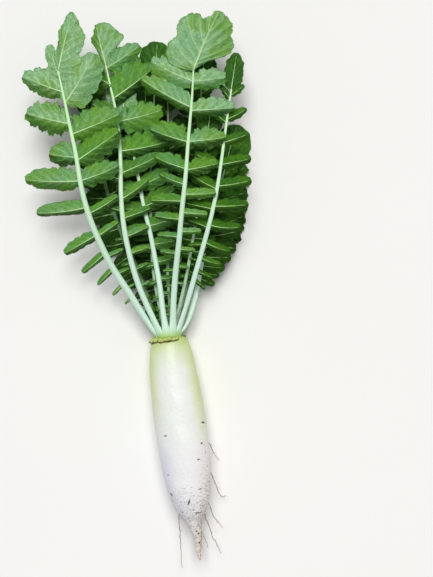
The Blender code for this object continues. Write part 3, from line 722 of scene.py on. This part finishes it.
def add_blade(shape, blade, margins, leaf, share, tint, half_columns, seed):
    """A thin veined sheet between two margins, folded along its midrib, and the midrib itself."""
    front, rear = margins
    rows, columns = len(front), 2 * half_columns + 1
    t = np.linspace(0, 1, rows)[:, None]
    steps = np.linspace(-1, 1, columns)[None, :]
    v = np.sign(steps) * np.abs(steps) ** .9
    in_front, reach = v >= 0, np.abs(v)
    ahead = np.where(in_front, 1, -1)
    edge_x = np.where(in_front, front[:, :1], rear[:, :1])
    edge_y = np.where(in_front, front[:, 1:], rear[:, 1:]) * blade.length
    folds = np.where(in_front, blade.front_fold, blade.rear_fold)
    middle = t ** blade.fan
    x = middle + (edge_x - middle) * reach
    flip = np.cross(blade.outward, blade.forward)[2] < 0

    def frame_at(x):
        """The midrib's points, and the directions across the blade and out of it."""
        x = x[..., None]
        curl = blade.forward * blade.bend - UP * blade.droop
        spot = blade.start + blade.length * (blade.outward * x + curl * x * x)
        along = unit(blade.outward + 2 * x * curl)
        level = unit(blade.forward - along * (along @ blade.forward)[..., None])
        raised = np.cross(along, level) * (-1 if flip else 1)
        turned, square = np.sin(blade.twist * x), np.cos(blade.twist * x)
        return spot, level * square + raised * turned, raised * square - level * turned

    spot, level, raised = frame_at(x)
    fold = folds * (.85 + .25 * np.sin(pi * np.clip(x, 0, 1)))
    fold = np.where(np.abs(fold) < .01, .01, fold)
    # each half hangs more and more towards its margin, so it rolls down
    first = fold * (1 - .5 * ROLL)
    hang = first + fold * ROLL * reach
    flat = edge_y * (np.sin(hang) - np.sin(first)) / (ROLL * fold)
    drop = edge_y * (np.cos(first) - np.cos(hang)) / (ROLL * fold)
    points = spot + level * (ahead * flat)[..., None] - raised * drop[..., None]
    normal = level * (ahead * np.sin(hang))[..., None] + raised * np.cos(hang)[..., None]

    # side veins run slanting to the margin, and the blade swells between them
    beat = t * blade.veins - reach
    size = edge_y.max()
    between = np.cos(pi * beat) ** 2 * np.sin(pi * reach ** .8) ** .7
    ridge = bell(np.abs(beat % 1 - .5), .1) * (1 - reach)
    lumps = waves(points.reshape(-1, 3), .012, seed + 1, 12).reshape(between.shape)
    relief = leaf.face * (.0003 * ridge - blade.quilt * size * between * (.7 + .6 * lumps))
    ripple = np.sin(.8 * pi * beat + seed) + .7 * np.sin(1.9 * pi * beat * ahead + 2 * seed)
    relief += blade.ruffle * reach ** 2 * ripple * np.sin(pi * t) ** .3 + .025 * size * lumps * reach
    points = points + normal * relief[..., None]

    thick = .5 * BLADE_THICKNESS * normal
    faces = grid_faces(rows, columns)
    upward = faces if flip else faces[:, ::-1]
    place = stacked(beat, v, share)
    # painted shade: a half that hangs far is painted darker, as if turned away from the light
    painted_hang_shade = (1.5 + .7 * sin(2.3 * seed)) * ease(reach / .5) * ease(folds / .8)
    tints = tint + painted_hang_shade + 0 * beat
    shape.add(points + thick, upward, 1 if leaf.face > 0 else 2, place, tints)
    shape.add(points - thick, upward[:, ::-1], 2 if leaf.face > 0 else 1, place, tints)
    grid = np.arange(rows * columns).reshape(rows, columns)
    rim = np.concatenate((grid[0], grid[1:, -1], grid[-1, -2::-1], grid[-2:0:-1, 0]))
    after, below = np.roll(rim, -1), rows * columns
    edge = np.stack((rim, after, after + below, rim + below), -1)
    shape.join(edge if flip else edge[:, ::-1], 1, shape.count - 2 * below)

    s = np.linspace(0, .97, 14)
    thickness = .0002 + (.0075 * blade.length + .006 * size) * (1 - s) ** .8
    spot, level, raised = frame_at(s)
    lifted = spot + raised * (leaf.face * .25 * thickness)[:, None]
    add_tube(shape, lifted, raised, thickness, thickness * .9, 8, 3, tint=tint)


def add_leaflets(shape, leaf, rachis):
    rng = np.random.default_rng(abs(leaf.around) * 7 + len(leaf.name))
    fine = leaf.name in OWN_LEAFLETS
    rows, half_columns = (45, 8) if fine else (27, 5)
    for side in (0, 1):
        for share, length, angle, front, rear, fold, deep in leaflets_of(leaf, rachis.length, side):
            # small leaflets low on the stalk stand and curl less evenly than the upper ones
            wild = (.2 if fine else 1) * (1 - ease((share - .45) / .3))
            angle += rng.uniform(-2, 2) * (1 + 4 * wild)
            point, across, outward, forward = rachis.at(share, angle, 2 * side - 1)
            slope = LOW_SLOPE * (1 - ease(share / .5))
            upper = ease((share - .35) / .4)
            broad = ease((front - .15) / .2)
            veins = int(np.clip(round(length / VEIN_SPACING), 3, 7))
            blade = Blade(
                start=point + across * .3 * stalk_radius(leaf, share),
                outward=outward - UP * slope, forward=forward, length=length,
                bend=.07 + rng.uniform(-.04, .04) * (1 + 3.5 * wild),
                droop=.1 + rng.uniform(-.03, .05) * upper,
                twist=radians(rng.uniform(-8, 8) * (1 + 2.5 * wild)),
                front_fold=radians(6 + rng.uniform(-5, 8)),
                rear_fold=fold * rng.uniform(.92, 1.08),
                fan=1.5 + .3 * broad, veins=veins, ruffle=.0003 + .001 * broad * upper, quilt=.028)
            margins = []
            for half in (front, rear):
                outline = spaced(plain_margin(half, .16 + .2 * broad, 2.6 - .5 * broad), rows)
                depth = half * (.1 + .13 * broad * upper) * rng.uniform(.8, 1.2)
                margins.append(notched(outline, veins, depth, .5 * depth, rng.integers(1000)))
            # the tint adds the painted shade in `deep` to a random share and to a yellower green low on the
            # leaf
            tint = rng.uniform(-.4, .4) + deep + 1 - ease((share - leaf.pale) / .35)
            add_blade(shape, blade, margins, leaf, share, tint, half_columns, rng.integers(1000))
    add_terminal(shape, leaf, rachis, rng, fine)


def add_terminal(shape, leaf, rachis, rng, fine):
    """The last and largest leaflet."""
    rows, half_columns, lobes, depth = (110, 18, 12, .012) if fine else (45, 9, 5, .03)
    plain = plain_margin(1.1 * leaf.breadth, .42, 2.1)
    outline = OWN_TERMINALS.get(leaf.name, Outline(0, 0, 10, 14, plain, plain))
    point, _, outward, forward = rachis.at(1, outline.turn, 1)
    blade = Blade(
        start=point - outward * .001, outward=outward, forward=forward,
        length=leaf.terminal, bend=outline.bend, droop=.06, twist=0,
        front_fold=radians(outline.left_fold), rear_fold=radians(outline.right_fold),
        fan=2.2, veins=8, ruffle=.0012, quilt=.03)
    margins = []
    for half in (outline.left, outline.right):
        smooth = spaced(through(half, 8) if fine else half, rows)
        margins.append(notched(smooth, lobes, depth, .008, rng.integers(1000)))
    add_blade(shape, blade, margins, leaf, 1, -.2, half_columns, rng.integers(1000))


def add_leaf(shape, leaf):
    rachis = Rachis(leaf)
    add_stalk(shape, leaf, rachis)
    add_leaflets(shape, leaf, rachis)


# ---------------------------------------------------------------- the root
def root_profile():
    """Distance along the axis and radius, from the middle of the crown over the shoulder to the tail."""
    outline = through(np.array(ROOT_OUTLINE) * (ROOT_LENGTH, ROOT_RADIUS), 14)
    inner = np.linspace(0, 1, 14)[:-1]
    crown_top = np.column_stack((-CROWN_DOME * (1 - inner ** 2), inner * outline[0, 1]))
    crown_top[0, 1] = THINNEST
    return np.vstack((crown_top, outline, ((ROOT_LENGTH, .0003),)))


def axis_height(down):
    return CROWN[2] + down * tan(ROOT_TILT)


def add_root(shape):
    """The taproot: rows from the crown to the tail, columns round the axis."""
    rows, columns = 290, 240
    down, radius = spaced(root_profile(), rows).T[:, :, None]
    around = np.linspace(0, 2 * pi, columns, endpoint=False)[None, :]
    share = down / ROOT_LENGTH

    x, z = np.cos(around), np.sin(around)
    spot = stacked(x * radius, -down, z * radius)
    body = ease(radius / .02)
    swell = .0005 * body * waves(spot, .09, 11) + .00022 * body * waves(spot, .03, 12)
    swell += (1 - body) * .0004 * waves(spot, .012, 13)
    swell += body * .00009 * waves(stacked(.1 * x, down, .1 * z), .01, 14)

    # each mark is dark in its middle, which is a pit with a raised rim
    mark, relief = np.zeros((rows, columns)), np.zeros((rows, columns))
    for depth, degrees, tall, wide, slant, dark in MARKS:
        across, below = radius * turned_from(radians(degrees), around), down - depth
        lean = radians(slant)
        p = (below * cos(lean) + across * sin(lean)) / (1.3 * tall)
        q = (across * cos(lean) - below * sin(lean)) / (2 * wide)
        pit = np.exp(-(p * p + q * q))
        mark = np.maximum(mark, dark * pit)
        relief -= dark * (.0011 * pit - .0004 * np.exp(-((p / 2.2) ** 2 + (q / 1.8) ** 2)))
    radial = np.maximum(radius + swell + relief * body, THINNEST)

    # the tail bends to the right
    sway = .0028 * bell(share - .895, .055) + .0013 * ease((share - .9) / .1)
    points = stacked(x * radial + sway, CROWN[1] - down, axis_height(down) + z * radial)
    off_top = np.abs(turned_from(.5 * pi, around)) / pi
    shape.add(points, capped_faces(rows, columns), 0, stacked(share, off_top, mark),
              np.broadcast_to(x, mark.shape))


def add_side_root(shape, down, around, radius, points):
    """A wiry side root that starts inside the skin, with a few hairs."""
    shares, radii = np.array(ROOT_OUTLINE).T
    skin = np.interp(down / ROOT_LENGTH, shares, radii) * ROOT_RADIUS
    out = spoke(around)
    surface = np.array((0, CROWN[1] - down, axis_height(down))) + out * skin
    ends = [np.array((x, CROWN[1] + y, z)) for x, y, z in points]
    route = through([surface - out * .0015, surface + out * .001] + ends, 12)
    seed = int(down * 1000)
    route = route + np.column_stack([waves(route, .012, seed + i) for i in range(3)]) * .0005
    share = np.linspace(0, 1, len(route))
    radii = radius * (1.45 - share) * (1 + .12 * waves(route, .006, seed + 5))
    normal = UP + .01          # along no part of a root
    add_tube(shape, route, normal, radii, radii, 9, 0)
    rng = np.random.default_rng(seed)
    for start in rng.uniform(.25, .9, 5):
        i = int(start * (len(route) - 2))
        direction = unit(unit(route[i + 1] - route[i]) + .9 * rng.normal(size=3) * (1, 1, .4))
        length = rng.uniform(.004, .01)
        t = np.linspace(0, 1, 6)
        sag = np.array((0, -.002, -.001)) * (t * t)[:, None]
        radii = .00022 * (1.1 - t)
        add_tube(shape, route[i] + direction * length * t[:, None] + sag, normal, radii, radii, 5, 0)


def add_old_leaf_base(shape, around, span, seed):
    """What is left of a shed leaf: a thick, ragged scale that hugs the crown."""
    rows, columns = 12, 40
    s = np.linspace(-1, 1, columns)[None, :]
    t = np.linspace(0, 1, rows)[:, None]
    angle = np.radians(around + .5 * span * s)
    ends = np.sqrt(np.clip(1 - s ** 4, 0, 1))
    line = stacked(s * 3, 0, 0)
    ragged = waves(line, 1, seed)
    low = -.0052 * ends + .0009 * waves(line, 1.4, seed + 2)
    high = (.0024 + .0012 * ragged) * (.4 + .6 * ends)
    y = low + (high - low) * t
    bulge = (.0026 + .0009 * ragged) * np.sin(pi * t ** .8) * ends
    bulge = bulge + .0006 * waves(stacked(angle * .02, y, 0), .006, seed + 1)
    radius = .0222 + .0034 * (1 - t) + bulge - .0028 * t ** 3
    thickness = .002 * ends * (1 - .7 * t) + .0004

    def surface(r):
        return stacked(r * np.cos(angle), CROWN[1] + y, CROWN[2] + r * np.sin(angle))

    loop = np.concatenate((surface(radius), surface(radius - thickness)[:, ::-1]), axis=1)
    place = stacked(np.concatenate((s, s[:, ::-1]), 1), t, 0)
    shape.add(loop, capped_faces(rows, 2 * columns), 0, place)


def add_heart_bud(shape):
    """Tiny leaves wrapped round each other to a point: how each leans, and its share of the length."""
    t = np.linspace(0, 1, 30)
    for index, (lean, share) in enumerate(((0, 1), (.25, .86), (-.22, .76), (.1, .62))):
        sway = .0012 * np.sin(index * 2 + 2 * t)
        centres = CROWN + np.column_stack((lean * .004 * t, -.001 + share * BUD_LENGTH * t, sway))
        radii = .0021 * (1 - t ** 2.2) ** .8 * (1 - .12 * index) + .0002
        add_tube(shape, centres, UP, radii, radii * .8, 14, 0, lambda around: 1 + .1 * np.cos(5 * around))


# ---------------------------------------------------------------- the scene
def stand_in(node, ending, slot, materials, add, *details):
    """A finer piece in place of one node of the frame."""
    shape = Shape()
    add(shape, *details)
    piece = shape.piece(node + ending, materials)
    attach(piece, "root")
    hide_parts(node)


def make_radish():
    leafy = [
        stalk_material(),
        blade_material("leaf_underside", (170, 226, 166), (140, 205, 134), (95, 168, 32), (118, 182, 36),
                       (110, 186, 134), (28, 80, 8), (206, 242, 190)),
        blade_material("leaf_upper_side", (54, 124, 30), (30, 90, 16), (74, 136, 18), (84, 148, 24),
                       (24, 96, 40), (8, 34, 4), (104, 156, 66)),
        midrib_material()]
    old_base, rootlet = scale_material(), rootlet_material()
    stand_in("taproot", "_skin", "root_skin", [root_material()], add_root)
    for leaf in LEAVES:
        slot = "heart_green" if leaf.name.startswith("young") else "leaf_green"
        stand_in(leaf.name, "_grown", slot, leafy, add_leaf, leaf)
    stand_in("heart_bud", "_grown", "heart_green", [bud_material()], add_heart_bud)
    for number, (around, span) in enumerate(OLD_BASES, start=1):
        stand_in("old_leaf_base_%d" % number, "_ragged", "old_leaf_base", [old_base],
                 add_old_leaf_base, around, span, number * 10)
    for number, root in enumerate(SIDE_ROOTS, start=1):
        stand_in("side_root_%d" % number, "_grown", "rootlet", [rootlet], add_side_root, *root)


def make_floor():
    mesh = bpy.data.meshes.new("floor")
    corners = [(x * FLOOR_HALF, y * FLOOR_HALF, 0) for x, y in ((-1, -1), (1, -1), (1, 1), (-1, 1))]
    mesh.from_pydata(corners, [], [(0, 1, 2, 3)])
    mesh.materials.append(floor_material())
    floor = placed("floor", mesh)


def make_studio():
    for name, direction, strength, colour, spread in LIGHTS:
        light = bpy.data.lights.new(name, "SUN")
        light.energy = strength
        light.color = colour
        light.angle = radians(spread)
        x, y, z = unit(np.array(direction))
        placed(name, light).rotation_euler = (acos(-z), 0, atan2(-x, y))
    world = bpy.data.worlds.new("studio")
    world.use_nodes = True
    background = world.node_tree.nodes["Background"]
    background.inputs["Color"].default_value = (1, 1, 1, 1)
    background.inputs["Strength"].default_value = SKY_STRENGTH
    bpy.context.scene.world = world
    bpy.context.scene.view_settings.view_transform = "Standard"


def make_camera():
    """It looks straight down, turned a little, with the radish in the left part of its view."""
    camera = bpy.data.cameras.new("camera")
    camera.lens = CAMERA_LENS
    holder = placed("camera", camera)
    holder.location = (CAMERA_RIGHT, CROWN[1] + CAMERA_AHEAD, CAMERA_HEIGHT)
    holder.rotation_euler = (0, 0, CAMERA_TURN)
    bpy.context.scene.camera = holder


def main():
    make_radish()
    make_floor()
    make_studio()
    make_camera()


main()
